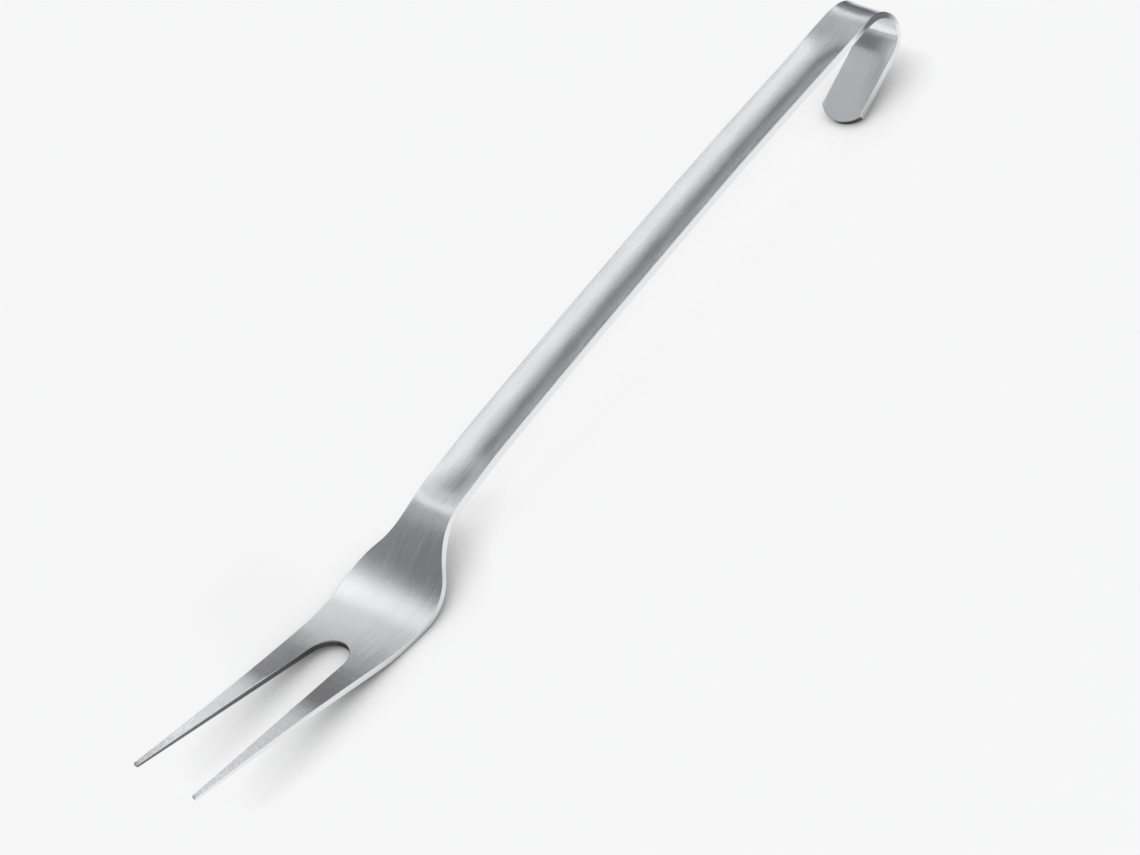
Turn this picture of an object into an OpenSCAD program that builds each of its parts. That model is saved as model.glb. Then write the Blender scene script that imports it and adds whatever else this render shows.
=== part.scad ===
// Flesh fork bent from one strip of satin steel: hanging hook, guttered handle, dropped neck,
// wide root with a round-ended slot, and two tapered tines. It lies face up on a table.

/* [Sheet] */
// Thickness of the steel sheet
sheet_t = 2; // [1.2:0.1:2.4]

/* [Handle] */
// Length from the hook's bend to the neck's bend
handle_len = 190; // [140:5:240]
// Width beside the hook
hook_w = 16.2; // [13:0.2:18]
// Width at the neck
neck_w = 17.4; // [14:0.2:20]
// Depth of the gutter pressed along the top
dish_depth = 1.3; // [0.4:0.1:2.2]
// Flat length between the hook and the gutter
flat_len = 9; // [2:1:20]
// Length over which the gutter deepens from the hook
hook_run = 15; // [10:1:30]
// Length over which the gutter fades at the neck
neck_run = 10; // [8:1:20]
// Length over which the gutter's rims rise from the hook
rim_hook_run = 45; // [20:5:70]
// Length over which the gutter's rims sink to the neck
rim_neck_run = 18; // [10:1:40]
// Rise of the handle's middle above a straight line through its ends
handle_bow = 1.2; // [0.4:0.1:3]

/* [Hanging hook] */
// Inner radius of the bend
hook_r = 7; // [5:0.5:10]
// Angle that the sheet turns through
hook_turn = 161; // [140:1:172]
// Length of the tail's straight sides
tail_len = 22; // [14:1:32]
// Radius of the tail's rounded end
tail_end_r = 11; // [9.5:0.5:20]

/* [Neck] */
// Radius of the downward bend at mid-sheet
neck_bend_r = 32; // [24:1:40]
// Angle of the downward bend
neck_bend = 25; // [18:1:30]
// Straight length between the downward and upward bends
slope_len = 8; // [5:1:14]
// Length from the handle's end to the start of the flare
flare_start = 5; // [1:1:9]
// Radius of the hollow flare between neck and shoulder
flare_r = 30; // [22:1:38]

/* [Fork root] */
// Radius of the upward bend at mid-sheet
belly_r = 42; // [34:1:50]
// Angle of the upward bend
belly_bend = 42; // [36:1:48]
// Flat length from the upward bend to the centre of the slot's arch
root_len = 10; // [8:1:20]
// Width across the shoulders
head_w = 38.2; // [34:0.2:42]
// Radius of the rounded shoulders
shoulder_r = 22; // [16:1:28]

/* [Tines] */
// Length from the centre of the slot's arch to the tips
tine_len = 60; // [45:1:80]
// Width of the slot at its arch
slot_w = 15; // [10:0.5:18]
// Gap between the two tips
tip_gap = 25.6; // [22:0.2:28]
// Width of a tip
tip_w = 1.6; // [1:0.1:3]
// Thickness of a tip
tip_t = 1.1; // [0.6:0.1:1.2]
// Radius of the hollow along each tine's outer edge
edge_r = 1000; // [700:50:2000]

/* [Hidden] */
$fn = 96;
steel = "silver";
// Rings along the handle, and strips across each of its faces
ring_count = 76;
strip_count = 10;
// Points along each node's curved outline
outline_steps = 32;
// Length that a cutting shape runs past what it cuts
past = 2;
// Height of an upright cutting shape, well over the fork's own
tall = 6 * (belly_r + hook_r);
// Share of the gutter's depth that lies below the side view's line
dish_drop = 0.5;

// Side view: x runs towards the tips and y is up, h is a heading in degrees
function along(h) = [cos(h), sin(h)];
function up(h) = [-sin(h), cos(h)];
function turn(len, r) = len / r * 180 / PI;

// Headings of the sheet along the side view
bow_r = handle_len * handle_len / (8 * handle_bow);
h_neck = -turn(handle_len, bow_r);
h_slope = h_neck - neck_bend;
h_root = h_slope + belly_bend;

// Places at mid-sheet where one stretch of the side view meets the next
p_neck = bow_r * (up(h_neck) - up(0));
neck_centre = p_neck - neck_bend_r * up(h_neck);
p_slope = neck_centre + neck_bend_r * up(h_slope);
p_belly = p_slope + slope_len * along(h_slope);
belly_centre = p_belly + belly_r * up(h_slope);
p_root = belly_centre - belly_r * up(h_root);
p_arch = p_root + root_len * along(h_root);
p_tip = p_arch + tine_len * along(h_root);

// The same places as lengths measured along the sheet
s_neck = handle_len;
s_slope = s_neck + neck_bend_r * neck_bend * PI / 180;
s_belly = s_slope + slope_len;
s_root = s_belly + belly_r * belly_bend * PI / 180;
s_arch = s_root + root_len;
s_tip = s_arch + tine_len;

// Point of the side view at a length along the sheet
function path(s) =
    s <= s_neck ? bow_r * (up(-turn(s, bow_r)) - up(0)) :
    s <= s_slope ? neck_centre + neck_bend_r * up(h_neck - turn(s - s_neck, neck_bend_r)) :
    s <= s_belly ? p_slope + (s - s_slope) * along(h_slope) :
    s <= s_root ? belly_centre - belly_r * up(h_slope + turn(s - s_belly, belly_r)) :
    p_root + (s - s_root) * along(h_root);

// Outline of the flat blank: a hollow flare, a round shoulder and a hollow edge to the tip,
// each touching the next
flare_turn = acos(1 - (head_w - neck_w) / 2 / (flare_r + shoulder_r));
s_flare = s_neck + flare_start;
s_inflect = s_flare + flare_r * sin(flare_turn);
shoulder_centre = [s_inflect + shoulder_r * sin(flare_turn), head_w / 2 - shoulder_r];
tip_corner = [s_tip, tip_gap / 2 + tip_w];
tip_line = tip_corner - shoulder_centre;
tip_dir = tip_line / norm(tip_line);
centre_span = shoulder_r + edge_r;
edge_along = (norm(tip_line) ^ 2 + centre_span ^ 2 - edge_r ^ 2) / (2 * norm(tip_line));
edge_aside = sqrt(centre_span ^ 2 - edge_along ^ 2);
edge_centre = shoulder_centre + edge_along * tip_dir + edge_aside * [-tip_dir.y, tip_dir.x];
s_touch = shoulder_centre.x + (edge_centre.x - shoulder_centre.x) * shoulder_r / centre_span;

// Half the blank's width at a length along the sheet
function head_half_w(s) =
    s <= s_flare ? neck_w / 2 :
    s <= s_inflect ? neck_w / 2 + flare_r - sqrt(flare_r ^ 2 - (s - s_flare) ^ 2) :
    s <= s_touch ? shoulder_centre.y + sqrt(shoulder_r ^ 2 - (s - shoulder_centre.x) ^ 2) :
    edge_centre.y - sqrt(edge_r ^ 2 - (s - edge_centre.x) ^ 2);

// Slot, measured on the root from the centre of its arch: straight sides touch the arch
slot_r = slot_w / 2;
slot_tip = [tine_len, tip_gap / 2];
slot_angle = atan2(slot_tip.y, slot_tip.x) + acos(slot_r / norm(slot_tip));
slot_touch = slot_r * along(slot_angle);
slot_slope = (slot_tip.y - slot_touch.y) / (slot_tip.x - slot_touch.x);
function slot_half_w(x) = slot_touch.y + slot_slope * (x - slot_touch.x);

// Hanging hook: its bend lies under the handle's end, and its tail runs back under the handle
hook_mid_r = hook_r + sheet_t / 2;
hook_centre = [0, -hook_mid_r];
h_tail = 180 + hook_turn;
p_tail = hook_centre - hook_mid_r * up(h_tail);
tail_end_x = tail_len - sqrt(tail_end_r ^ 2 - hook_w ^ 2 / 4);
tail_reach = tail_end_x + tail_end_r;

// Lying on a table: the belly and the tail's end touch it, midway along x is the origin
rest_point = p_tail + tail_reach * along(h_tail) - sheet_t / 2 * up(h_tail);
to_belly = belly_centre - rest_point;
tilt = atan2(to_belly.y, to_belly.x) - asin((belly_r + sheet_t / 2) / norm(to_belly));
function tilted(p) = [p.x * cos(tilt) + p.y * sin(tilt), p.y * cos(tilt) - p.x * sin(tilt)];
hook_end_x = tilted(hook_centre).x - hook_r - sheet_t;
tip_end_x = max([for (side = [-1, 1]) tilted(p_tip + side * tip_t / 2 * up(h_root)).x]);
origin = [(hook_end_x + tip_end_x) / 2, tilted(rest_point).y];

// Where the rail that the fork hangs on goes, as seen from the side
echo(hook_axis = tilted(hook_centre) - origin);

module lying() {
    translate([-origin.x, 0, -origin.y])
        rotate([0, tilt, 0])
            children();
}

// Moves what lies flat at the origin to a place and heading of the side view
module at(p, h) {
    translate([p.x, 0, p.y])
        rotate([0, -h, 0])
            children();
}

// Sheet that bends and then runs straight: p and h are where the bend ends and the straight begins,
// and side is 1 where the bend's centre is above the sheet or -1 where it is below
module bent_sheet(p, h, side, r, sweep, len, w) {
    at(p, h) {
        translate([0, 0, side * r])
            rotate([90, 0, 0])
                rotate([0, 0, -side * 90])
                    rotate_extrude(angle = -side * sweep)
                        translate([r, 0])
                            square([sheet_t, w], center = true);
        translate([0, -w / 2, -sheet_t / 2])
            cube([len, w, sheet_t]);
    }
}

// Upright block with the blank's outline between two lengths along the sheet
module blank(from, to) {
    step = (to - from) / outline_steps;
    right = [for (i = [0 : outline_steps]) [path(from + i * step).x, -head_half_w(from + i * step)]];
    left = [for (i = [outline_steps : -1 : 0]) [right[i].x, -right[i].y]];
    linear_extrude(height = tall, center = true)
        polygon(concat(right, left));
}

// What is cut from the corners of the tail's end to round it
module tail_trim() {
    translate([tail_end_x, 0])
        difference() {
            translate([0, -hook_w / 2 - past])
                square([tail_end_r + past, hook_w + 2 * past]);
            circle(tail_end_r);
        }
}

// Outline of the slot between the tines
module slot_outline() {
    end_x = tine_len + past;
    circle(slot_r);
    polygon([
        slot_touch,
        [slot_touch.x, -slot_touch.y],
        [end_x, -slot_half_w(end_x)],
        [end_x, slot_half_w(end_x)]
    ]);
}

// Outline of the tine on the +Y side
module tine_outline() {
    step = tine_len / outline_steps;
    outer = [for (i = [0 : outline_steps]) [i * step, head_half_w(s_arch + i * step)]];
    polygon(concat(outer, [slot_tip, [0, slot_half_w(0)]]));
}

module hanging_hook() {
    color(steel)
        lying()
            difference() {
                bent_sheet(p_tail, h_tail, 1, hook_mid_r, hook_turn, tail_reach + past, hook_w);
                at(p_tail, h_tail)
                    linear_extrude(height = sheet_t + past, center = true)
                        tail_trim();
            }
}

// Handle: the sheet's section is flat at both ends and dished between them
function ease(t) = let (u = min(max(t, 0), 1)) u * u * (3 - 2 * u);
function swell(s, rise, fall) = ease((s - flat_len) / rise) * ease((handle_len - s) / fall);
function dish(s) = dish_depth * swell(s, hook_run, neck_run);
function rim(s) = dish_depth * (1 - dish_drop) * swell(s, rim_hook_run, rim_neck_run);
function handle_half_w(s) = (hook_w + (neck_w - hook_w) * s / handle_len) / 2;
function section_point(s, across, face) =
    let (
        w = handle_half_w(s),
        d = dish(s),
        lean = atan(2 * d * across / w),
        skin = face * sheet_t / 2
    )
    [across * w - skin * sin(lean), rim(s) - d * (1 - across ^ 2) + skin * cos(lean)];
function section(s) = concat(
    [for (i = [0 : strip_count]) section_point(s, 2 * i / strip_count - 1, 1)],
    [for (i = [strip_count : -1 : 0]) section_point(s, 2 * i / strip_count - 1, -1)]
);
function ring(s) = [
    for (q = section(s))
        let (p = path(s) + q.y * up(-turn(s, bow_r)))
            [p.x, q.x, p.y]
];

module handle() {
    size = 2 * (strip_count + 1);
    points = [for (i = [0 : ring_count]) each ring(handle_len * i / ring_count)];
    sides = [
        for (i = [0 : ring_count - 1])
            for (j = [0 : size - 1])
                let (a = i * size + j, b = i * size + (j + 1) % size)
                    each [[a, b, b + size], [a, b + size, a + size]]
    ];
    hook_face = [
        for (j = [0 : strip_count - 1])
            let (a = j, b = j + 1, c = size - 2 - j, d = size - 1 - j)
                each [[a, d, c], [a, c, b]]
    ];
    neck_face = [for (f = hook_face) ring_count * size * [1, 1, 1] + [f[0], f[2], f[1]]];
    color(steel)
        lying()
            polyhedron(points, concat(sides, hook_face, neck_face));
}

module neck() {
    color(steel)
        lying()
            intersection() {
                bent_sheet(p_slope, h_slope, -1, neck_bend_r, neck_bend, slope_len, head_w);
                blank(s_neck - past, s_belly + past);
            }
}

module fork_root() {
    color(steel)
        lying()
            difference() {
                intersection() {
                    bent_sheet(p_root, h_root, 1, belly_r, belly_bend, root_len, head_w + past);
                    blank(s_belly - past, s_arch + past);
                }
                at(p_arch, h_root)
                    linear_extrude(height = sheet_t + past, center = true)
                        slot_outline();
            }
}

// Tine on the +Y side: its faces close in towards the tip
module tine() {
    at(p_arch, h_root)
        intersection() {
            rotate([90, 0, 0])
                linear_extrude(height = head_w + past, center = true)
                    polygon([
                        [0, -sheet_t / 2],
                        [tine_len, -tip_t / 2],
                        [tine_len, tip_t / 2],
                        [0, sheet_t / 2]
                    ]);
            linear_extrude(height = sheet_t + past, center = true)
                tine_outline();
        }
}

module left_tine() {
    color(steel)
        lying()
            tine();
}

module right_tine() {
    color(steel)
        lying()
            mirror([0, 1, 0])
                tine();
}

hanging_hook();
handle();
neck();
fork_root();
left_tine();
right_tine();
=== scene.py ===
import math
import bmesh
import bpy
import numpy as np
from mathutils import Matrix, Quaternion, Vector


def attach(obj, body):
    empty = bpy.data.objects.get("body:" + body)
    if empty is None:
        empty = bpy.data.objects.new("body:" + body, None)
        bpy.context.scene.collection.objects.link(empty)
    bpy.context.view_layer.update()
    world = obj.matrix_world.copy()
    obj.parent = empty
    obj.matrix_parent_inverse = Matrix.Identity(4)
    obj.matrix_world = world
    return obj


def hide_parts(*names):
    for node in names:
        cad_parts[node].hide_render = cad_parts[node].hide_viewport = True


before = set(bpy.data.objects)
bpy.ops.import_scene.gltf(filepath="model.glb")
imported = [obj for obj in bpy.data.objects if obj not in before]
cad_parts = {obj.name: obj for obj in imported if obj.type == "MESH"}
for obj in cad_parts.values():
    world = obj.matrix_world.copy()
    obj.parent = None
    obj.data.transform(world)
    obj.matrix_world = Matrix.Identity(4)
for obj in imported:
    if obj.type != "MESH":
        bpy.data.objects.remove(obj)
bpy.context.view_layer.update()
print("frame loaded:", len(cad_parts), "nodes")

# The fork is one strip of sheet steel. Its flat blank is drawn first, with x along the strip from the
# handle's hook end, y across it and z through the sheet, and then it is dished and bent to shape.
sheet = {
    "thickness": 0.002,
    "edgeRound": 0.0002,  # radius of the tumbled edges
    "hold": 0.00005,  # narrow rows beside a rounded edge that keep the flat beside it flat
    "columns": 24,  # strips across the sheet
    "roundSteps": 5,  # steps round each edge
    "wallSteps": 4,  # steps down each wall
    "squareWall": 0.95,  # how squarely a face looks sideways to be part of a wall
    "softSteps": 6,  # steps in which a bend tightens or slackens
    "spread": 0.3,  # sideways strain for each lengthwise strain in a bend
    "curl": 0.000002,  # lift of the edges in a bend, times the bend's radius
}
handle = {
    "length": 0.190,
    "hookWidth": 0.0162,
    "neckWidth": 0.0174,
    "gutterDepth": 0.0013,
    "gutterDrop": 0.5,  # share of the gutter's depth below the strip's own line
    "flatLength": 0.009,  # from the hook's bend to the gutter
    "hookRun": 0.010,  # length over which the gutter deepens
    "neckRun": 0.018,  # length over which it fades out again
    "neckOverrun": 0.008,  # how far into the neck it still shows
    "rimHookRun": 0.055,  # length over which its rims rise
    "rimNeckRun": 0.018,  # length over which they sink to the neck
    "bow": 0.0012,
    "softRows": 14,  # narrow rows beside the hook's soft bend
    "rows": 110,
}
hangingHook = {
    "innerRadius": 0.007,
    "turn": 161,
    "tailLength": 0.022,
    "tailEndRadius": 0.011,
    "softness": 0.008,  # length over which the bend tightens
    "tailSoftness": 0.010,  # length over which it slackens into the tail
    "bendRows": 64,
    "tailRows": 40,
    "cutShadeFrom": 0.008,  # the bend's edges stay as they were cut, and are painted dark as shade, between these two places
    "cutShadeTo": -0.013,
    "cutShadeFade": 0.006,
}
neck = {
    "bendRadius": 0.032,
    "bend": 25,
    "slopeLength": 0.008,
    "flareStart": 0.005,
    "flareRadius": 0.030,
    "softness": 0.010,
    "bendRows": 26,
    "slopeRows": 14,
}
forkRoot = {
    "bendRadius": 0.042,
    "bend": 42,
    "flatLength": 0.010,
    "width": 0.0382,
    "shoulderRadius": 0.022,
    "softness": 0.014,
    "archMargin": 0.006,  # from the last straight row to the top of the slot's arch
    "bendRows": 40,
    "shoulderRows": 18,
}
tine = {
    "length": 0.060,
    "slotWidth": 0.015,
    "tipGap": 0.0256,
    "tipWidth": 0.0016,
    "tipThickness": 0.0011,
    "tipRound": 0.00025,
    "edgeRadius": 1.0,  # hollow of the outer edge
    "rows": 50,
    "tipRows": 4,
}
rightAngle = math.radians(90)
weldDistance = 1e-6  # points closer than this are one


def heading(angle):
    return Vector((math.cos(angle), math.sin(angle)))


def upward(angle):
    return Vector((-math.sin(angle), math.cos(angle)))


def spread(start, end, count):
    return [start + (end - start) * i / count for i in range(count + 1)]


def meshFrom(shape, name):
    mesh = bpy.data.meshes.new(name)
    shape.to_mesh(mesh)
    shape.free()
    return mesh


def addObject(name, data):
    added = bpy.data.objects.new(name, data)
    bpy.context.scene.collection.objects.link(added)
    return added


# Stations along the strip
halfSheet = sheet["thickness"] / 2
edgeRound = sheet["edgeRound"]
hookMidRadius = hangingHook["innerRadius"] + halfSheet
softEnds = (hangingHook["softness"], hangingHook["tailSoftness"])
endShifts = [length ** 2 / (24 * hookMidRadius) for length in softEnds]  # a soft end shifts its arc so far
hookBendRadius = hookMidRadius - sum(endShifts) / 2  # keeps the tail in its place
hookArc = hookBendRadius * math.radians(hangingHook["turn"])
neckArc = neck["bendRadius"] * math.radians(neck["bend"])
bellyArc = forkRoot["bendRadius"] * math.radians(forkRoot["bend"])
neckAt = handle["length"]
slopeAt = neckAt + neckArc
bellyAt = slopeAt + neck["slopeLength"]
rootAt = bellyAt + bellyArc
archAt = rootAt + forkRoot["flatLength"]
tipAt = archAt + tine["length"]
slotRadius = tine["slotWidth"] / 2
lastRowAt = archAt - slotRadius - forkRoot["archMargin"]
bowRadius = handle["length"] ** 2 / (8 * handle["bow"])  # of an arc with that chord and height

# Outline of the head: hollow flare, round shoulder, hollow edge to the tip, each touching the next
neckHalf = handle["neckWidth"] / 2
headHalf = forkRoot["width"] / 2
flareTurn = math.acos(1 - (headHalf - neckHalf) / (neck["flareRadius"] + forkRoot["shoulderRadius"]))
flareAt = neckAt + neck["flareStart"]
inflectAt = flareAt + neck["flareRadius"] * math.sin(flareTurn)
shoulderCentre = Vector((
    inflectAt + forkRoot["shoulderRadius"] * math.sin(flareTurn),
    headHalf - forkRoot["shoulderRadius"],
))
tipCorner = Vector((tipAt, tine["tipGap"] / 2 + tine["tipWidth"]))
tipLine = tipCorner - shoulderCentre
centreSpan = forkRoot["shoulderRadius"] + tine["edgeRadius"]
edgeAlong = (tipLine.length_squared + centreSpan ** 2 - tine["edgeRadius"] ** 2) / (2 * tipLine.length)
edgeAside = math.sqrt(centreSpan ** 2 - edgeAlong ** 2)
tipDir = tipLine.normalized()
edgeCentre = shoulderCentre + edgeAlong * tipDir + edgeAside * Vector((-tipDir.y, tipDir.x))
touchAt = shoulderCentre.x + (edgeCentre.x - shoulderCentre.x) * forkRoot["shoulderRadius"] / centreSpan


def halfWidth(x):
    if x <= neckAt:
        share = min(max(x / handle["length"], 0), 1)
        return (handle["hookWidth"] + (handle["neckWidth"] - handle["hookWidth"]) * share) / 2
    if x <= flareAt:
        return neckHalf
    if x <= inflectAt:
        return neckHalf + neck["flareRadius"] - math.sqrt(neck["flareRadius"] ** 2 - (x - flareAt) ** 2)
    if x <= touchAt:
        return shoulderCentre.y + math.sqrt(forkRoot["shoulderRadius"] ** 2 - (x - shoulderCentre.x) ** 2)
    return edgeCentre.y - math.sqrt(tine["edgeRadius"] ** 2 - (x - edgeCentre.x) ** 2)


# Slot: an arch about its centre with straight sides that touch it and run to the tips
slotTip = Vector((tine["length"], tine["tipGap"] / 2))
slotAngle = math.atan2(slotTip.y, slotTip.x) + math.acos(slotRadius / slotTip.length)
slotTouch = slotRadius * heading(slotAngle)
slotSlope = (slotTip.y - slotTouch.y) / (slotTip.x - slotTouch.x)


def slotHalf(x):
    return slotTouch.y + slotSlope * (x - archAt - slotTouch.x)


def steepness(widthAt, x):
    # how much longer a step square to an edge gets when it is taken straight across the strip
    step = sheet["hold"]
    return math.hypot(1, (widthAt(x + step) - widthAt(x - step)) / (2 * step))


def rimHalf(x):
    # half width of the flat face, up to where its edge starts to round
    return halfWidth(x) - edgeRound * steepness(halfWidth, x)


def tineThickness(x):
    share = min(max((x - archAt) / tine["length"], 0), 1)
    return sheet["thickness"] + (tine["tipThickness"] - sheet["thickness"]) * share


# Flat blank
blank = bmesh.new()
# this mask marks sheared faces that are rougher and painted dark as shade: the slot's walls, the cut ends
# and the hook bend's walls
cutShadeLayer = blank.faces.layers.float.new("cutAndPaintedShade")
sideLayer = blank.faces.layers.float.new("sideWall")
sectionLayer = blank.faces.layers.int.new("section")
wallColumns = range(sheet["roundSteps"], sheet["roundSteps"] + sheet["wallSteps"] + 2)


def addPatch(rows, shadedCutColumns=(), onWall=0):
    # rows of points make a grid of faces; the patches are welded to each other later
    made = [[blank.verts.new(point) for point in row] for row in rows]
    for first, second in zip(made, made[1:]):
        for i in range(len(first) - 1):
            face = blank.faces.new((first[i], first[i + 1], second[i + 1], second[i]))
            face[cutShadeLayer] = 1 if i in shadedCutColumns else 0
            face[sideLayer] = onWall


def heldSpread(start, end, count):
    # evenly spaced, with a narrow strip at both ends
    hold = sheet["hold"] * (1 if end > start else -1)
    return [start] + spread(start + hold, end - hold, count - 2) + [end]


def edgeProfile(thickness, radius):
    # (share of the way out, height) from the top face round to the bottom face
    quarter = spread(0, rightAngle, sheet["roundSteps"])
    top = [(math.sin(a), thickness / 2 - radius * (1 - math.cos(a))) for a in quarter]
    wallTop = top[-1][1] - sheet["hold"]
    wall = [(1, z) for z in spread(wallTop, -wallTop, sheet["wallSteps"])]
    return top + wall + [(out, -z) for out, z in reversed(top)]


def addEdge(stations, shadedCutColumns=()):
    # stations are (point on the face's rim, way out to the true edge)
    profile = edgeProfile(sheet["thickness"], edgeRound)
    rows = []
    for rim, out in stations:
        rows.append([(rim[0] + out[0] * share, rim[1] + out[1] * share, z) for share, z in profile])
    addPatch(rows, shadedCutColumns, 1)


def addFaces(rows):
    for z in (halfSheet, -halfSheet):
        addPatch([[(x, y, z) for x, y in row] for row in rows])


# Strip from the tail's end to the last straight row before the slot
tailCorner = Vector((-hookArc - hangingHook["tailLength"], handle["hookWidth"] / 2))
tailRoundAt = hangingHook["tailLength"] - math.sqrt(
    hangingHook["tailEndRadius"] ** 2 - handle["hookWidth"] ** 2 / 4
)
tailRim = hangingHook["tailEndRadius"] - edgeRound


def tailEnd(y):
    # distance from the bend to the rim of the tail's rounded end
    return tailRoundAt + math.sqrt(tailRim ** 2 - y ** 2)


def cornerStation(rim, side):
    # the tail's long edge and its end share this station
    return rim, (tailCorner.x - rim[0], side * tailCorner.y - rim[1])


tailShares = [1] + spread(1 - sheet["hold"] / tailRoundAt, 0, hangingHook["tailRows"])
columnYs = heldSpread(-rimHalf(-hookArc), rimHalf(-hookArc), sheet["columns"])
tailRows = [[(-hookArc - share * tailEnd(y), y) for y in columnYs] for share in tailShares]
straightAts = (
    spread(-hookArc, 0, hangingHook["bendRows"])
    + spread(0, hangingHook["softness"], handle["softRows"])[1:]
    + spread(hangingHook["softness"], neckAt, handle["rows"])[1:]
    + spread(neckAt, slopeAt, neck["bendRows"])[1:]
    + spread(slopeAt, bellyAt, neck["slopeRows"])[1:]
    + spread(bellyAt, lastRowAt, forkRoot["bendRows"])[1:]
)
straightRows = [
    [(x, y) for y in heldSpread(-rimHalf(x), rimHalf(x), sheet["columns"])] for x in straightAts
]
stripRows = tailRows + straightRows[1:]
addFaces(stripRows)
for side, column in ((1, -1), (-1, 0)):
    stations = [cornerStation(stripRows[0][column], side)]
    for row in stripRows[1:]:
        x, y = row[column]
        stations.append(((x, y), (0, side * halfWidth(x) - y)))
    addEdge(stations)
endStations = [cornerStation(tailRows[0][0], -1)]
for x, y in tailRows[0][1:-1]:
    angle = math.asin(y / tailRim)
    endStations.append(((x, y), (-edgeRound * math.cos(angle), edgeRound * math.sin(angle))))
endStations.append(cornerStation(tailRows[0][-1], 1))
# the tail's cut end is painted dark as shade
addEdge(endStations, wallColumns)

# Head round the arch: lines run from the slot's rim out to the last straight row and up the shoulder
halfColumns = sheet["columns"] // 2
shoulderAts = spread(lastRowAt, archAt, forkRoot["shoulderRows"])
archLength = slotRadius * (math.pi - slotAngle)
slotEnd = Vector((0, slotHalf(archAt)))
straightLength = (slotEnd - slotTouch).length


def slotRim(length):
    # point and outward way on the slot's edge, measured from the top of its arch
    if length <= archLength:
        way = heading(math.pi - length / slotRadius)
        return slotRadius * way, way
    share = (length - archLength) / straightLength
    return slotTouch + (slotEnd - slotTouch) * share, heading(slotAngle)


lineCount = halfColumns + forkRoot["shoulderRows"]
slotLengths = spread(0, archLength + straightLength, lineCount)
for side in (1, -1):
    lines = []
    slotStations = []
    for i, length in enumerate(slotLengths):
        edge, way = slotRim(length)
        if i == lineCount:
            way = Vector((0, steepness(slotHalf, archAt)))
        rim = Vector((archAt, 0)) + edge + edgeRound * way
        if i <= halfColumns:
            outer = Vector(straightRows[-1][halfColumns + i])
        else:
            x = shoulderAts[i - halfColumns]
            outer = Vector((x, rimHalf(x)))
        reach = (outer - rim).length
        shares = [d / reach for d in heldSpread(0, reach, halfColumns)]
        line = [rim + (outer - rim) * share for share in shares]
        lines.append([(point.x, side * point.y) for point in line])
        slotStations.append(((rim.x, side * rim.y), (-edgeRound * way.x, -side * edgeRound * way.y)))
    addFaces(lines)
    # the slot's walls are painted dark as shade
    addEdge(slotStations, wallColumns)
    addEdge([((x, side * rimHalf(x)), (0, side * (halfWidth(x) - rimHalf(x)))) for x in shoulderAts])

# Tines, with small rounds at the edges of their cut-off tips
tineRows = [(x, 0) for x in spread(archAt, tipAt - tine["tipRound"], tine["rows"])]
for angle in spread(0, rightAngle, tine["tipRows"])[1:]:
    inset = tine["tipRound"] * (1 - math.cos(angle))
    tineRows.append((tipAt - tine["tipRound"] * (1 - math.sin(angle)), inset))
for side in (1, -1):
    tops, bottoms, outers, inners = [], [], [], []
    for x, inset in tineRows:
        radius = max(edgeRound - inset, sheet["hold"])
        outer = halfWidth(x) - inset
        inner = slotHalf(x) + inset
        outerRound = radius * steepness(halfWidth, x)
        innerRound = radius * steepness(slotHalf, x)
        thickness = tineThickness(x) - 2 * inset
        ys = heldSpread(inner + innerRound, outer - outerRound, halfColumns)
        tops.append([(x, side * y, thickness / 2) for y in ys])
        bottoms.append([(x, side * y, -thickness / 2) for y in ys])
        profile = edgeProfile(thickness, radius)
        outers.append([(x, side * (ys[-1] + outerRound * share), z) for share, z in profile])
        inners.append([(x, side * (ys[0] - innerRound * share), z) for share, z in profile])
    addPatch(tops)
    addPatch(bottoms)
    addPatch(outers, (), 1)
    # the slot's walls are painted dark as shade
    addPatch(inners, wallColumns, 1)

bmesh.ops.remove_doubles(blank, verts=blank.verts, dist=weldDistance)
tipEnds = bmesh.ops.holes_fill(blank, edges=[e for e in blank.edges if e.is_boundary], sides=0)["faces"]
# the cut tip ends are painted dark as shade
for face in tipEnds:
    face[cutShadeLayer] = 1
    face[sideLayer] = 1
bmesh.ops.recalc_face_normals(blank, faces=blank.faces)
openEdges = sum(1 for e in blank.edges if not e.is_manifold)

# Each face belongs to the section of the fork that its place along the strip gives
sections = ["hanging_hook", "handle", "neck", "fork_root", "left_tine", "right_tine"]
sectionEnds = [0, neckAt, bellyAt, archAt]


def hookCutShade(x):
    # edges inside the hook's bend that no wheel reaches, painted dark as shade
    rise = (hangingHook["cutShadeFrom"] - x) / hangingHook["cutShadeFade"]
    fall = (x - hangingHook["cutShadeTo"]) / hangingHook["cutShadeFade"]
    return min(max(min(rise, fall), 0), 1)


for face in blank.faces:
    centre = face.calc_center_median()
    face.smooth = True
    face[sectionLayer] = sum(1 for end in sectionEnds if centre.x > end)
    if centre.x > archAt and centre.y < 0:
        face[sectionLayer] += 1
    if face[sideLayer] and abs(face.normal.y) > sheet["squareWall"]:
        # painted shade: the hook bend's side walls take the dark cut tone
        face[cutShadeLayer] = max(face[cutShadeLayer], hookCutShade(centre.x))
strip = addObject("flatBlank", meshFrom(blank, "flatBlank"))
print("blank drawn:", len(strip.data.polygons), "faces,", openEdges, "open edges")


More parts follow.
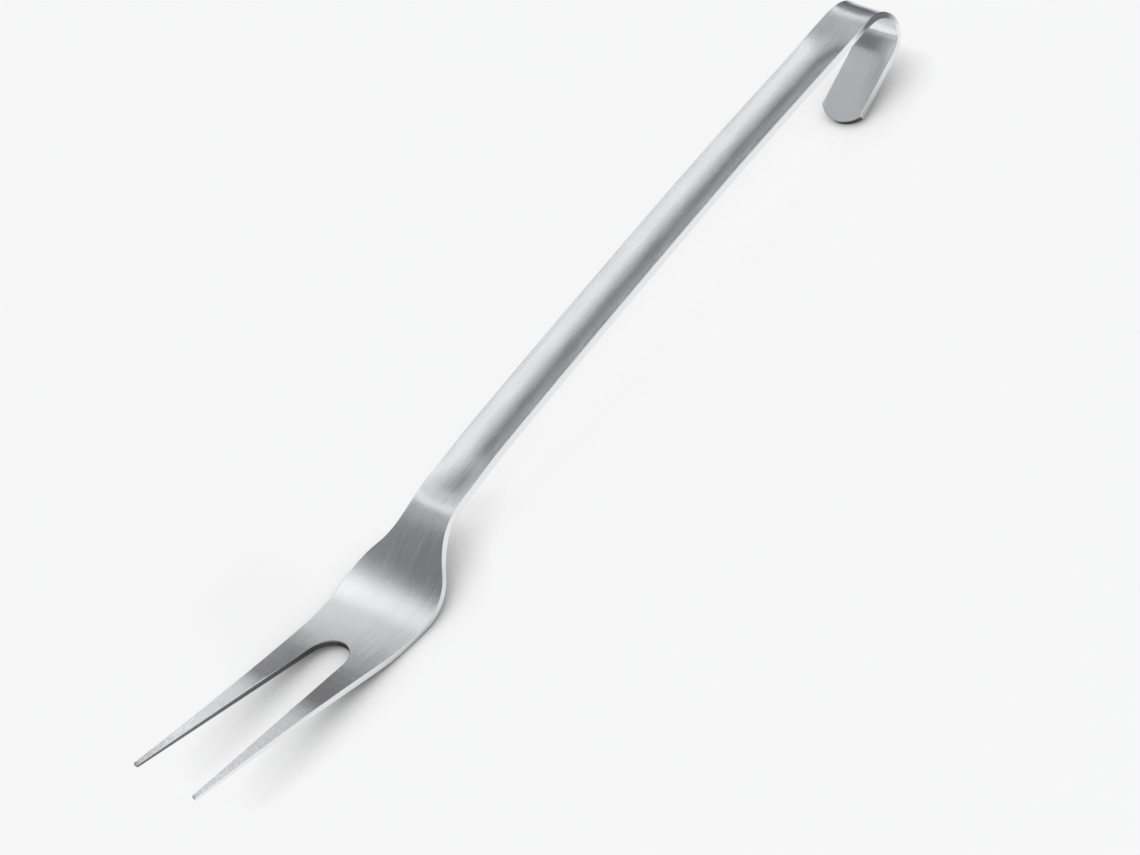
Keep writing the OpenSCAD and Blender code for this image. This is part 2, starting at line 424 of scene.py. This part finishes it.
class Wire:
    # a socket of a node tree that adds its own maths nodes
    def __init__(self, tree, socket):
        self.tree = tree
        self.socket = socket

    def maths(self, operation, *others):
        return addNode(self.tree, "ShaderNodeMath", {"operation": operation}, [self, *others])

    def vectorMaths(self, operation, other):
        return addNode(self.tree, "ShaderNodeVectorMath", {"operation": operation}, [self, other])

    def smoothRise(self, start, end):
        return addNode(
            self.tree, "ShaderNodeMapRange", {"interpolation_type": "SMOOTHSTEP"},
            {"Value": self, "From Min": start, "From Max": end},
        )

    def __add__(self, other):
        return self.maths("ADD", other)

    def __radd__(self, other):
        return self.maths("ADD", other)

    def __sub__(self, other):
        return self.maths("SUBTRACT", other)

    def __rsub__(self, other):
        return addNode(self.tree, "ShaderNodeMath", {"operation": "SUBTRACT"}, [other, self])

    def __mul__(self, other):
        return self.maths("MULTIPLY", other)

    def __rmul__(self, other):
        return self.maths("MULTIPLY", other)

    def __truediv__(self, other):
        return self.maths("DIVIDE", other)

    def __neg__(self):
        return self.maths("MULTIPLY", -1)


def addNode(tree, kind, settings=None, sockets=None, output=0):
    # settings go first, because they can change which sockets there are
    node = tree.nodes.new(kind)
    for name, value in (settings or {}).items():
        setattr(node, name, value)
    pairs = sockets.items() if isinstance(sockets, dict) else enumerate(sockets or [])
    for key, value in pairs:
        if isinstance(value, Wire):
            tree.links.new(value.socket, node.inputs[key])
        else:
            node.inputs[key].default_value = value
    if output == "all":
        return {socket.name: Wire(tree, socket) for socket in node.outputs}
    return Wire(tree, node.outputs[output]) if len(node.outputs) else None


def joinVector(tree, *parts):
    return addNode(tree, "ShaderNodeCombineXYZ", None, parts)


def splitVector(vector):
    parts = addNode(vector.tree, "ShaderNodeSeparateXYZ", None, [vector], "all")
    return list(parts.values())


def newGroup(name, inputs):
    tree = bpy.data.node_groups.new(name, "GeometryNodeTree")
    tree.interface.new_socket("Geometry", in_out="INPUT", socket_type="NodeSocketGeometry")
    for label in inputs:
        tree.interface.new_socket(label, in_out="INPUT", socket_type="NodeSocketFloat")
    tree.interface.new_socket("Geometry", in_out="OUTPUT", socket_type="NodeSocketGeometry")
    return tree, addNode(tree, "NodeGroupInput", output="all")


def newMaterial(name):
    material = bpy.data.materials.new(name)
    material.use_nodes = True
    material.node_tree.nodes.clear()
    return material, material.node_tree


def flatPlace(tree):
    # where a point lay on the flat blank
    return addNode(tree, "GeometryNodeInputNamedAttribute", {"data_type": "FLOAT_VECTOR"}, ["blank"])


# One bend: what lies past its start rolls up round an axis across the strip, and the rest follows
bendTree, bendIn = newGroup("bendSheet", ["Start", "Run", "Radius"])
alongStrip = splitVector(flatPlace(bendTree))[0]
low = bendIn["Run"].maths("MINIMUM", 0)
high = bendIn["Run"].maths("MAXIMUM", 0)
rolled = (alongStrip - bendIn["Start"]).maths("MAXIMUM", low).maths("MINIMUM", high)
position = addNode(bendTree, "GeometryNodeInputPosition")
turned = addNode(
    bendTree, "ShaderNodeVectorRotate", {"rotation_type": "Y_AXIS"},
    {
        "Vector": position.vectorMaths("SUBTRACT", joinVector(bendTree, rolled, 0, 0)),
        "Center": joinVector(bendTree, bendIn["Start"], 0, bendIn["Radius"]),
        "Angle": -(rolled / bendIn["Radius"]),
    },
)
bent = addNode(
    bendTree, "GeometryNodeSetPosition", None, {"Geometry": bendIn["Geometry"], "Position": turned}
)
addNode(bendTree, "NodeGroupOutput", None, [bent])

# Where the bent fork lies: its belly and the end of its tail touch the table
neckHeading = -handle["length"] / bowRadius
slopeHeading = neckHeading - math.radians(neck["bend"])
rootHeading = slopeHeading + math.radians(forkRoot["bend"])
neckPlace = bowRadius * (upward(neckHeading) - upward(0))
slopePlace = neckPlace + neck["bendRadius"] * (upward(slopeHeading) - upward(neckHeading))
bellyCentre = slopePlace + neck["slopeLength"] * heading(slopeHeading)
bellyCentre += forkRoot["bendRadius"] * upward(slopeHeading)
rootPlace = bellyCentre - forkRoot["bendRadius"] * upward(rootHeading)
tipPlace = rootPlace + (forkRoot["flatLength"] + tine["length"]) * heading(rootHeading)
tailHeading = math.radians(180 + hangingHook["turn"])
hookCentre = Vector((0, -hookMidRadius))
restPlace = hookCentre - (hookMidRadius + halfSheet) * upward(tailHeading)
restPlace += (tailRoundAt + hangingHook["tailEndRadius"]) * heading(tailHeading)
toBelly = bellyCentre - restPlace
tilt = math.atan2(toBelly.y, toBelly.x) - math.asin((forkRoot["bendRadius"] + halfSheet) / toBelly.length)


def tilted(place):
    return Vector((
        place.x * math.cos(tilt) + place.y * math.sin(tilt),
        place.y * math.cos(tilt) - place.x * math.sin(tilt),
    ))


hookEnd = tilted(hookCentre).x - hangingHook["innerRadius"] - sheet["thickness"]
tipEnd = max(tilted(tipPlace + side * tine["tipThickness"] / 2 * upward(rootHeading)).x for side in (-1, 1))
middle = (hookEnd + tipEnd) / 2
tableHeight = tilted(restPlace).y

# The whole press: gutter first, then the bends from the tines back to the hook
pressInputs = {
    "Handle Length": handle["length"],
    "Hook Width": handle["hookWidth"],
    "Neck Width": handle["neckWidth"],
    "Gutter Depth": handle["gutterDepth"],
    "Gutter Drop": handle["gutterDrop"],
    "Gutter Start": handle["flatLength"],
    "Hook Run": handle["hookRun"],
    "Neck Run": handle["neckRun"],
    "Neck Overrun": handle["neckOverrun"],
    "Rim Hook Run": handle["rimHookRun"],
    "Rim Neck Run": handle["rimNeckRun"],
    "Spread": sheet["spread"],
    "Curl": sheet["curl"],
    "Tilt": tilt,
    "Middle": middle,
    "Table": tableHeight,
}
pressTree, pressIn = newGroup("pressFork", pressInputs)
drawn = addNode(pressTree, "GeometryNodeInputPosition")
stored = addNode(
    pressTree, "GeometryNodeStoreNamedAttribute", {"data_type": "FLOAT_VECTOR", "domain": "POINT"},
    {"Geometry": pressIn["Geometry"], "Name": "blank", "Value": drawn},
)
alongStrip, acrossStrip, throughSheet = splitVector(flatPlace(pressTree))
handleLength = pressIn["Handle Length"]
widthGain = (pressIn["Neck Width"] - pressIn["Hook Width"]) * (alongStrip / handleLength)
halfAcross = (pressIn["Hook Width"] + widthGain) * 0.5
gutterStart = pressIn["Gutter Start"]
gutterEnd = handleLength + pressIn["Neck Overrun"]
gutterRise = alongStrip.smoothRise(gutterStart, gutterStart + pressIn["Hook Run"])
gutterRise = gutterRise * alongStrip.smoothRise(gutterEnd, gutterEnd - pressIn["Neck Run"])
gutter = pressIn["Gutter Depth"] * gutterRise
rimRise = alongStrip.smoothRise(gutterStart, gutterStart + pressIn["Rim Hook Run"])
rimRise = rimRise * alongStrip.smoothRise(handleLength, handleLength - pressIn["Rim Neck Run"])
rims = pressIn["Gutter Depth"] * (1 - pressIn["Gutter Drop"]) * rimRise
share = acrossStrip / halfAcross
lean = (2 * gutter * share / halfAcross).maths("ARCTANGENT")


def bendCurvature(start, end, startSoftness, endSoftness, radius):
    rise = alongStrip.smoothRise(start - startSoftness / 2, start + startSoftness / 2)
    return rise * alongStrip.smoothRise(end + endSoftness / 2, end - endSoftness / 2) / radius


hookSoftness = hangingHook["tailSoftness"], hangingHook["softness"]
neckSoftness = neck["softness"], neck["softness"]
bellySoftness = forkRoot["softness"], forkRoot["softness"]
curvature = bendCurvature(-hookArc, 0, *hookSoftness, -hookBendRadius)
curvature = curvature + bendCurvature(neckAt, slopeAt, *neckSoftness, -neck["bendRadius"])
curvature = curvature + bendCurvature(bellyAt, rootAt, *bellySoftness, forkRoot["bendRadius"])
squeezed = acrossStrip * (1 + pressIn["Spread"] * throughSheet * curvature)
rimShare = (share * share).maths("MINIMUM", 1)
curled = -(pressIn["Curl"] * curvature * rimShare * rimShare)
dishedAcross = squeezed - throughSheet * lean.maths("SINE")
dishedUp = rims - gutter * (1 - share * share) + throughSheet * lean.maths("COSINE") + curled
dished = addNode(
    pressTree, "GeometryNodeSetPosition", None,
    {"Geometry": stored, "Position": joinVector(pressTree, alongStrip, dishedAcross, dishedUp)},
)


def addBend(geometry, start, run, radius, softness=0, endSoftness=0):
    # a soft bend tightens and slackens in steps, each a short bend of its own, made from its far end
    way = 1 if run > 0 else -1
    steps = sheet["softSteps"]
    shares = [(i + 0.5) / steps for i in range(steps)]
    tighten = [(softness / steps, share) for share in shares] if softness else []
    slacken = [(endSoftness / steps, share) for share in reversed(shares)] if endSoftness else []
    place = start - way * softness / 2
    bends = []
    for length, share in tighten + [(abs(run) - (softness + endSoftness) / 2, 1)] + slacken:
        bends.append((place, way * length, radius / share))
        place += way * length
    for begin, length, bendRadius in reversed(bends):
        geometry = addNode(
            pressTree, "GeometryNodeGroup", {"node_tree": bendTree},
            {"Geometry": geometry, "Start": begin, "Run": length, "Radius": bendRadius},
        )
    return geometry


shaped = addBend(dished, bellyAt, bellyArc, forkRoot["bendRadius"], *bellySoftness)
shaped = addBend(shaped, neckAt, neckArc, -neck["bendRadius"], *neckSoftness)
shaped = addBend(shaped, 0, handle["length"], -bowRadius)
shaped = addBend(shaped, 0, -hookArc, -hookBendRadius, *reversed(hookSoftness))
laid = addNode(
    pressTree, "GeometryNodeTransform", None,
    {
        "Geometry": shaped,
        "Rotation": joinVector(pressTree, 0, pressIn["Tilt"], 0),
        "Translation": joinVector(pressTree, -pressIn["Middle"], 0, -pressIn["Table"]),
    },
)

# Satin steel, brushed along the strip
finish = {
    "light": 0.87,
    "dark": 0.77,
    "tint": (1, 1.006, 1.025),  # its grey leans to blue
    "roughness": 0.16,
    "roughnessSpread": 0.03,
    "hairWidth": 0.00002,
    "hairLength": 0.020,
    "hairHeight": 0.000005,
    "hairFilter": 0.02,  # pixels over which a hair's slope is taken
    "hairSeed": 3.7,
    "grainWidth": 0.0004,
    "grainLength": 0.050,
    "grainDetail": 3,
    "grainSeed": 11.3,
    "fineShare": 0.6,  # strength of each finer layer of grain
    "wallRoughness": 0.20,  # tumbled edges
    "paintedShadeCutTone": 0.20,  # sheared faces that were never brushed, painted dark as shade
    "rawSpread": 0.4,  # how far their marks lighten and darken them
    "rawRoughness": 0.45,
    "rawMark": 0.0002,
    "rawDetail": 2,
    "rawSeed": 5.1,
}
steel, steelTree = newMaterial("satinSteel")


def greyTone(level):
    return (*(level * part for part in finish["tint"]), 1)


def mixTone(factor, first, second):
    # sockets of a Mix node for colours: 0 factor, 6 and 7 colours, 2 result
    return addNode(steelTree, "ShaderNodeMix", {"data_type": "RGBA"}, {0: factor, 6: first, 7: second}, 2)


def faceMask(name):
    return addNode(steelTree, "ShaderNodeAttribute", {"attribute_name": name}, None, "Fac")


def brushed(length, width, detail, seed):
    place = addNode(steelTree, "ShaderNodeAttribute", {"attribute_name": "blank"}, None, "Vector")
    scaled = place.vectorMaths("MULTIPLY", (1 / length, 1 / width, 1 / width))
    moved = scaled.vectorMaths("ADD", (seed, seed, seed))
    return addNode(
        steelTree, "ShaderNodeTexNoise", {"noise_dimensions": "3D"},
        {"Vector": moved, "Scale": 1, "Detail": detail, "Roughness": finish["fineShare"]},
    )


hair = brushed(finish["hairLength"], finish["hairWidth"], 0, finish["hairSeed"])
grain = brushed(finish["grainLength"], finish["grainWidth"], finish["grainDetail"], finish["grainSeed"])
marks = brushed(finish["rawMark"], finish["grainLength"], finish["rawDetail"], finish["rawSeed"])
cutShadeMask = faceMask("cutAndPaintedShade")
wall = faceMask("sideWall")
brushedTone = mixTone(grain, greyTone(finish["dark"]), greyTone(finish["light"]))
# painted shade: the cut faces' dark tone stands in for shade in the slot, at the cut ends and in the hook's
# bend; their marks and roughness are their own
shadedCutDark = greyTone(finish["paintedShadeCutTone"] * (1 - finish["rawSpread"]))
shadedCutLight = greyTone(finish["paintedShadeCutTone"] * (1 + finish["rawSpread"]))
tone = mixTone(cutShadeMask, brushedTone, mixTone(marks, shadedCutDark, shadedCutLight))
satin = finish["roughness"] + finish["roughnessSpread"] * (grain - 0.5)
satin = satin + wall * (finish["wallRoughness"] - satin)
bump = addNode(
    steelTree, "ShaderNodeBump", None,
    {
        "Strength": 1,
        "Distance": finish["hairHeight"],
        "Filter Width": finish["hairFilter"],
        "Height": hair * (1 - wall),
    },
)
shader = addNode(
    steelTree, "ShaderNodeBsdfPrincipled", None,
    {
        "Base Color": tone,
        "Metallic": 1,
        "Roughness": satin + cutShadeMask * (finish["rawRoughness"] - satin),
        "Normal": bump,
    },
)
addNode(steelTree, "ShaderNodeOutputMaterial", None, {"Surface": shader})

realized = addNode(pressTree, "GeometryNodeRealizeInstances", None, {"Geometry": laid})
dressed = addNode(
    pressTree, "GeometryNodeSetMaterial", None, {"Geometry": realized, "Material": steel}
)
addNode(pressTree, "NodeGroupOutput", None, [dressed])
press = strip.modifiers.new("press", "NODES")
press.node_group = pressTree
for item in pressTree.interface.items_tree:
    if item.in_out == "INPUT" and item.name in pressInputs:
        press[item.identifier] = pressInputs[item.name]
bpy.context.view_layer.update()
pressed = bpy.data.meshes.new_from_object(strip.evaluated_get(bpy.context.evaluated_depsgraph_get()))
strip.modifiers.remove(press)
bpy.data.objects.remove(strip)
print("fork pressed:", len(pressed.vertices), "points")

# The sections meet face to face; each keeps the whole fork's shading along its cuts
normals = np.zeros(len(pressed.vertices) * 3, np.float32)
pressed.vertices.foreach_get("normal", normals)
pressed.attributes.new("wholeNormal", "FLOAT_VECTOR", "POINT").data.foreach_set("vector", normals)


def cutSection(number, name):
    part = bmesh.new()
    part.from_mesh(pressed)
    layer = part.faces.layers.int["section"]
    others = [face for face in part.faces if face[layer] != number]
    bmesh.ops.delete(part, geom=others, context="FACES")
    caps = bmesh.ops.holes_fill(part, edges=[e for e in part.edges if e.is_boundary], sides=0)["faces"]
    bmesh.ops.recalc_face_normals(part, faces=part.faces)
    for face in caps:
        face.smooth = False
    part.faces.index_update()
    capIndexes = {face.index for face in caps}
    mesh = meshFrom(part, name)
    mesh.materials.append(steel)
    kept = mesh.attributes["wholeNormal"].data
    loopNormals = []
    for polygon in mesh.polygons:
        for vertex in polygon.vertices:
            loopNormals.append(polygon.normal if polygon.index in capIndexes else kept[vertex].vector)
    mesh.normals_split_custom_set([tuple(n) for n in loopNormals])
    mesh.attributes.remove(mesh.attributes["wholeNormal"])
    return addObject(name, mesh)


for number, node in enumerate(sections):
    piece = cutSection(number, node + "_steel")
    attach(piece, "root")
    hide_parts(node)
    print("section cut:", piece.name, len(piece.data.polygons), "faces")
bpy.data.meshes.remove(pressed)

# Floor: white paper that rises at its far rim, as bright to the eye and to the steel as plain white, with a
# painted shadow where the fork comes near it
floorLook = {
    "flat": 4.5,
    "coveRadius": 0.5,
    "coveSteps": 12,
    "sides": 96,
    "paper": 0.28,
    "glow": 0.86,
    "eyeShare": 0.92,  # share of the glow that the eye sees
    "contact": 0.014,  # how far from what stands on it the eye sees the paper darkened by a painted contact shadow
    "under": 0.05,  # how far the steel sees it darkened by painted shade
    "deepShade": 0.35,  # openness at which the steel sees the paper as dark
    "openShade": 0.95,  # openness at which it sees the paper as bright
    "shadeSamples": 8,
    "fadeFrom": -0.15,  # behind the hook the steel sees the paper's brightness fade along x + y
    "fadeTo": -0.62,
}
floorShape = bmesh.new()
profile = [(0, 0), (floorLook["flat"], 0)]
for angle in spread(0, rightAngle, floorLook["coveSteps"])[1:]:
    profile.append((
        floorLook["flat"] + floorLook["coveRadius"] * math.sin(angle),
        floorLook["coveRadius"] * (1 - math.cos(angle)),
    ))
corners = [floorShape.verts.new((x, 0, z)) for x, z in profile]
edges = [floorShape.edges.new(pair) for pair in zip(corners, corners[1:])]
bmesh.ops.spin(
    floorShape, geom=corners + edges, cent=(0, 0, 0), axis=(0, 0, 1),
    angle=math.radians(360), steps=floorLook["sides"],
)
bmesh.ops.remove_doubles(floorShape, verts=floorShape.verts, dist=weldDistance)
bmesh.ops.recalc_face_normals(floorShape, faces=floorShape.faces)
for face in floorShape.faces:
    face.smooth = True
floor = addObject("floor", meshFrom(floorShape, "floor"))
paper, paperTree = newMaterial("whitePaper")
rays = addNode(paperTree, "ShaderNodeLightPath", output="all")


def openness(distance):
    samples = {"samples": floorLook["shadeSamples"]}
    return addNode(paperTree, "ShaderNodeAmbientOcclusion", samples, {"Distance": distance}, "AO")


alongX, alongY = splitVector(addNode(paperTree, "ShaderNodeTexCoord", output="Object"))[:2]
fade = (alongX + alongY).smoothRise(floorLook["fadeTo"], floorLook["fadeFrom"])
# painted shadow: the paper's glow is darkened by occlusion near the fork, as a contact shadow for the eye
# and as shade under the fork for the steel
shade = openness(floorLook["under"]).smoothRise(floorLook["deepShade"], floorLook["openShade"])
seen = fade * shade * rays["Is Glossy Ray"]
eyeGlow = floorLook["eyeShare"] * openness(floorLook["contact"])
for kind in ("Is Camera Ray", "Is Transmission Ray"):
    seen = seen.maths("MAXIMUM", eyeGlow * rays[kind])
paperTone = (floorLook["paper"], floorLook["paper"], floorLook["paper"], 1)
matte = addNode(paperTree, "ShaderNodeBsdfDiffuse", None, {"Color": paperTone})
glow = addNode(paperTree, "ShaderNodeEmission", None, {"Strength": floorLook["glow"]})
bright = addNode(paperTree, "ShaderNodeAddShader", None, [matte, glow])
lit = addNode(paperTree, "ShaderNodeMixShader", None, [seen, matte, bright])
addNode(paperTree, "ShaderNodeOutputMaterial", None, {"Surface": lit})
floor.data.materials.append(paper)

# Studio: a dim room, two wide soft panels, small panels behind the fork and a dark card over its root
room = {"level": 0.21, "tint": (0.96, 0.985, 1.04, 1)}
softPanels = {
    "overhead": {
        "place": (-0.73, -0.942, 1.831),
        "facing": (0, 0, -1),
        "size": (2.195, 1.37),
        "level": 0.78,
    },
    "front": {
        "place": (0, 1.15, 1.25),
        "facing": (0, -1.15, -1.25),
        "size": (2.4, 1.5),
        "level": 0.9,
    },
}
acrossFork = (0, 1, 0)
strips = {  # these face across the fork and show in the steel alone
    "headStrip": {"place": (0.0494, -0.117, 0.0818), "size": (0.0844, 0.0723), "level": 0.53},
    "bellyStrip": {"place": (0.0527, -0.166, 0.1365), "size": (0.0312, 0.088), "level": 0.565},
    "hookStrip": {"place": (-0.2843, -0.181, 0.155), "size": (0.0493, 0.0532), "level": 1.45},
    "handleStrip": {"place": (-0.2385, -0.328, 0.096), "size": (0.394, 0.0577), "level": 0.52},
    "insideStrip": {"place": (0.135, -0.3, 0.065), "size": (0.06, 0.13), "level": 0.8},
}
card = {"place": (0.0917, -0.0184, 0.0222), "size": (0.0248, 0.0583), "level": 0.2}
scene = bpy.context.scene
world = bpy.data.worlds.new("studio")
scene.world = world
world.use_nodes = True
backdrop = world.node_tree.nodes["Background"]
backdrop.inputs["Color"].default_value = room["tint"]
backdrop.inputs["Strength"].default_value = room["level"]


def addPanel(name, look, facing):
    light = bpy.data.lights.new(name, "AREA")
    light.shape = "RECTANGLE"
    light.size, light.size_y = look["size"]
    light.energy = look["level"] * math.pi * light.size * light.size_y
    panel = addObject(name, light)
    panel.location = look["place"]
    panel.rotation_mode = "QUATERNION"
    panel.rotation_quaternion = Vector(facing).to_track_quat("-Z", "Y")
    panel.visible_camera = False
    return panel


for name, look in softPanels.items():
    addPanel(name, look, look["facing"])
for name, look in strips.items():
    addPanel(name, look, acrossFork).visible_diffuse = False
cardShape = bmesh.new()
corners = [
    cardShape.verts.new((x * card["size"][0] / 2, y * card["size"][1] / 2, 0))
    for x, y in ((-1, -1), (1, -1), (1, 1), (-1, 1))
]
cardShape.faces.new(corners)
bmesh.ops.translate(cardShape, verts=corners, vec=card["place"])
darkCard = addObject("card", meshFrom(cardShape, "card"))
darkPaper, darkTree = newMaterial("darkPaper")
dim = addNode(darkTree, "ShaderNodeEmission", None, {"Strength": card["level"]})
addNode(darkTree, "ShaderNodeOutputMaterial", None, {"Surface": dim})
darkCard.data.materials.append(darkPaper)
darkCard.visible_camera = False
darkCard.visible_diffuse = False

# Camera
shot = {
    "azimuth": 155.31,
    "elevation": 39.45,
    "roll": -30.82,
    "distance": 1.3541,
    "aim": (0.00492, 0.01554, 0.0101),
    "lens": 150,
    "sensor": 36,
}
camera = addObject("camera", bpy.data.cameras.new("camera"))
scene.camera = camera
azimuth = math.radians(shot["azimuth"])
elevation = math.radians(shot["elevation"])
back = Vector((
    math.sin(azimuth) * math.cos(elevation),
    -math.cos(azimuth) * math.cos(elevation),
    math.sin(elevation),
))
camera.location = Vector(shot["aim"]) + back * shot["distance"]
camera.rotation_mode = "QUATERNION"
level = (-back).to_track_quat("-Z", "Y")
camera.rotation_quaternion = level @ Quaternion((0, 0, 1), math.radians(shot["roll"]))
camera.data.lens = shot["lens"]
camera.data.sensor_width = shot["sensor"]
scene.view_settings.view_transform = "Standard"
print("studio set")
